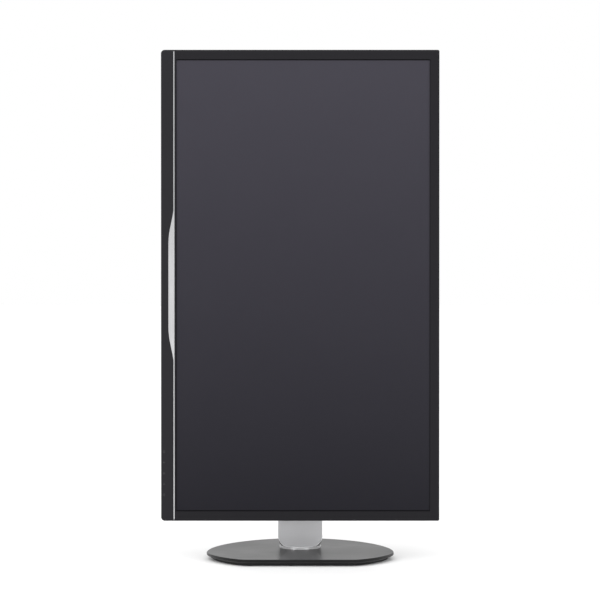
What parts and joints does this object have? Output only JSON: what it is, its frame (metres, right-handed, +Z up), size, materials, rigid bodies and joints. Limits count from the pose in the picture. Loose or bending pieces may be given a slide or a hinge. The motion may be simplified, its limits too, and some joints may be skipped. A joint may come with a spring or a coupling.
{
  "type": "computer monitor",
  "caption": "Wide flat-panel desktop monitor standing upright on a slim mast that lifts, tilts, swivels and pivots over a rounded flat base.",
  "frame": {"origin": "on the desk, at the middle of the base's footprint", "axes": "+Z up; the screen faces -Y; +X to the right for someone facing the screen; stored upright (portrait), at full height, upright and square to the base"},
  "size_m": [0.4384, 0.27, 0.812],
  "materials": {
    "bezel_plastic": "fine-grained dark grey plastic",
    "trim_silver": "satin silver",
    "lcd_glass": "anti-glare film over glass",
    "frame_black": "matt",
    "film_white": "satin diffuser sheets",
    "guide_clear": "clear acrylic",
    "led_bar": "white board with yellow lamps",
    "chassis_steel": "zinc-plated sheet",
    "rear_plastic": "textured dark grey plastic",
    "circuit_board": "green circuit board",
    "socket_metal": "nickel-plated shells",
    "inlet_black": "black nylon",
    "rocker_black": "black",
    "speaker_black": "black",
    "key_plastic": "fine satin",
    "screw_black": "black oxide",
    "plate_steel": "black powder coat",
    "shaft_steel": "ground steel",
    "washer_steel": "oiled spring steel",
    "screw_zinc": "bright zinc",
    "cast_zinc": "die cast",
    "spring_steel": "blued spring strip",
    "shroud_plastic": "fine-grained dark grey plastic",
    "carriage_steel": "galvanised sheet",
    "rail_steel": "cold rolled",
    "hub_nylon": "natural nylon",
    "cage_brass": "pressed brass",
    "ball_steel": "polished",
    "mast_silver": "satin silver paint",
    "mast_dark": "fine-grained dark grey plastic",
    "base_satin": "satin dark grey with a soft sheen",
    "weight_steel": "phosphated plate",
    "bottom_plastic": "black, grained",
    "foot_rubber": "soft matt",
    "washer_nylon": "acetal"
  },
  "bodies": {
    "base": {"base_top_cover": "base_satin", "base_weight_plate": "weight_steel", "base_bottom_cover": "bottom_plastic", "rubber_feet": "foot_rubber", "base_screws": "screw_black", "swivel_washer": "washer_nylon"},
    "mast": {"swivel_foot": "shaft_steel", "swivel_collar": "mast_silver", "swivel_nut": "screw_zinc", "mast_frame": "carriage_steel", "fixed_rails": "rail_steel", "mast_front_cover": "mast_silver", "mast_rear_cover": "mast_dark", "mast_top_cap": "mast_dark", "cable_clip": "mast_dark", "mast_screws": "screw_black", "lift_spring_strips": "spring_steel"},
    "ball_carrier": {"ball_cages": "cage_brass", "bearing_balls": "ball_steel"},
    "lift": {"carriage": "carriage_steel", "moving_rails": "rail_steel", "spring_axle": "shaft_steel", "hinge_yoke": "cast_zinc", "hinge_fasteners": "screw_zinc", "tilt_axle": "shaft_steel"},
    "spring_roll": {"spring_hub": "hub_nylon", "lift_spring_coils": "spring_steel"},
    "head": {"tilt_bracket": "cast_zinc", "tilt_washers": "washer_steel", "torsion_springs": "spring_steel", "head_cover": "shroud_plastic"},
    "display": {"front_bezel": "bezel_plastic", "accent_trim": "trim_silver", "lcd_panel": "lcd_glass", "panel_frame": "frame_black", "optical_films": "film_white", "light_guide": "guide_clear", "led_strip": "led_bar", "backlight_chassis": "chassis_steel", "vesa_bracket": "chassis_steel", "rear_cover": "rear_plastic", "main_board": "circuit_board", "power_board": "circuit_board", "io_connectors": "socket_metal", "power_inlet": "inlet_black", "rocker_pin": "inlet_black", "speakers": "speaker_black", "key_board": "circuit_board", "cover_screws": "screw_black", "stand_plate": "plate_steel", "pivot_shaft": "shaft_steel", "pivot_washers": "washer_steel", "pivot_nut": "screw_zinc"},
    "key_input": {"key_input": "key_plastic"},
    "key_volume": {"key_volume": "key_plastic"},
    "key_menu": {"key_menu": "key_plastic"},
    "key_back": {"key_back": "key_plastic"},
    "key_power": {"key_power": "key_plastic"},
    "mains_rocker": {"mains_rocker": "rocker_black"},
    "release_button": {"release_button": "key_plastic"}
  },
  "joints": [
    {"name": "swivel", "type": "hinge", "parent": "base", "child": "mast", "pos_m": [0, 0.015, 0.012], "axis": [0, 0, 1], "range_deg": [-170, 170]},
    {"name": "height", "type": "slide", "parent": "mast", "child": "lift", "axis": [0, 0, 1], "range_m": [-0.05, 0], "deforming": ["lift_spring_strips"]},
    {"name": "ball_travel", "type": "slide", "parent": "mast", "child": "ball_carrier", "axis": [0, 0, 1], "range_m": [-0.025, 0]},
    {"name": "spring_unroll", "type": "hinge", "parent": "lift", "child": "spring_roll", "pos_m": [0, 0.022, 0.366], "axis": [1, 0, 0], "range_deg": [0, 252.4]},
    {"name": "tilt", "type": "hinge", "parent": "lift", "child": "head", "pos_m": [0, -0.036, 0.441], "axis": [-1, 0, 0], "range_deg": [-5, 20]},
    {"name": "pivot", "type": "hinge", "parent": "head", "child": "display", "pos_m": [0, -0.05, 0.441], "axis": [0, -1, 0], "range_deg": [0, 90]},
    {"name": "key_input_press", "type": "slide", "parent": "display", "child": "key_input", "axis": [1, 0, 0], "range_m": [0, 0.0007], "stiffness_N_per_m": 900},
    {"name": "key_volume_press", "type": "slide", "parent": "display", "child": "key_volume", "axis": [1, 0, 0], "range_m": [0, 0.0007], "stiffness_N_per_m": 900},
    {"name": "key_menu_press", "type": "slide", "parent": "display", "child": "key_menu", "axis": [1, 0, 0], "range_m": [0, 0.0007], "stiffness_N_per_m": 900},
    {"name": "key_back_press", "type": "slide", "parent": "display", "child": "key_back", "axis": [1, 0, 0], "range_m": [0, 0.0007], "stiffness_N_per_m": 900},
    {"name": "key_power_press", "type": "slide", "parent": "display", "child": "key_power", "axis": [1, 0, 0], "range_m": [0, 0.0007], "stiffness_N_per_m": 900},
    {"name": "mains_rocker_turn", "type": "hinge", "parent": "display", "child": "mains_rocker", "pos_m": [-0.1214, -0.074, 0.285], "axis": [0, -1, 0], "range_deg": [0, 14]},
    {"name": "release_button_press", "type": "slide", "parent": "display", "child": "release_button", "axis": [0, -1, 0], "range_m": [0, 0.002], "stiffness_N_per_m": 900}
  ],
  "couplings": [
    {"joint": "ball_travel", "follows": "height", "ratio": 0.5},
    {"joint": "spring_unroll", "follows": "height", "rad_per_m": -88.106}
  ]
}
